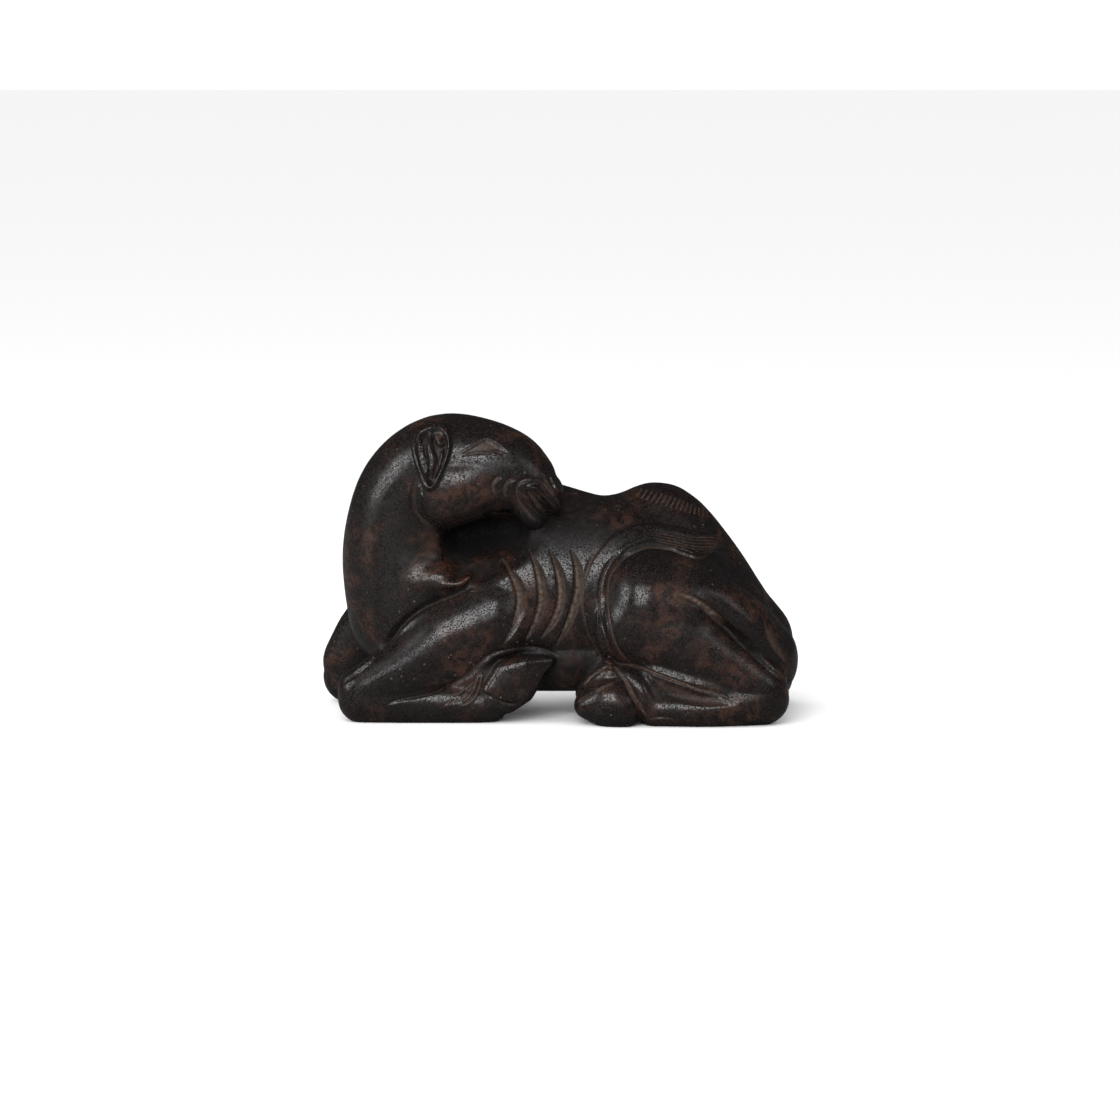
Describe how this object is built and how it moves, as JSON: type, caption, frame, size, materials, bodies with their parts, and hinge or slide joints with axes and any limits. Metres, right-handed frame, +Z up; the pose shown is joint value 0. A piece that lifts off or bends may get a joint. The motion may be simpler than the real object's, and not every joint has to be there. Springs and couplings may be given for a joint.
{
  "type": "jade figurine",
  "caption": "Solid dark jade carving of a recumbent two-humped camel with its head turned back over its shoulder, flat underneath to stand on a shelf or desk.",
  "frame": {"origin": "centre of the bounding box at its base, on the surface that the figurine rests on", "axes": "+Z up; +X along the body from the chest to the hocks; the head is turned back on the -Y side, which is the side shown to a viewer"},
  "size_m": [0.1004, 0.0464, 0.0634],
  "materials": {
    "dark_jade": "softly polished near-black brown jade with russet clouds, worn matte in the carved lines"
  },
  "bodies": {
    "root": {"camel_figurine": "dark_jade"}
  },
  "joints": []
}
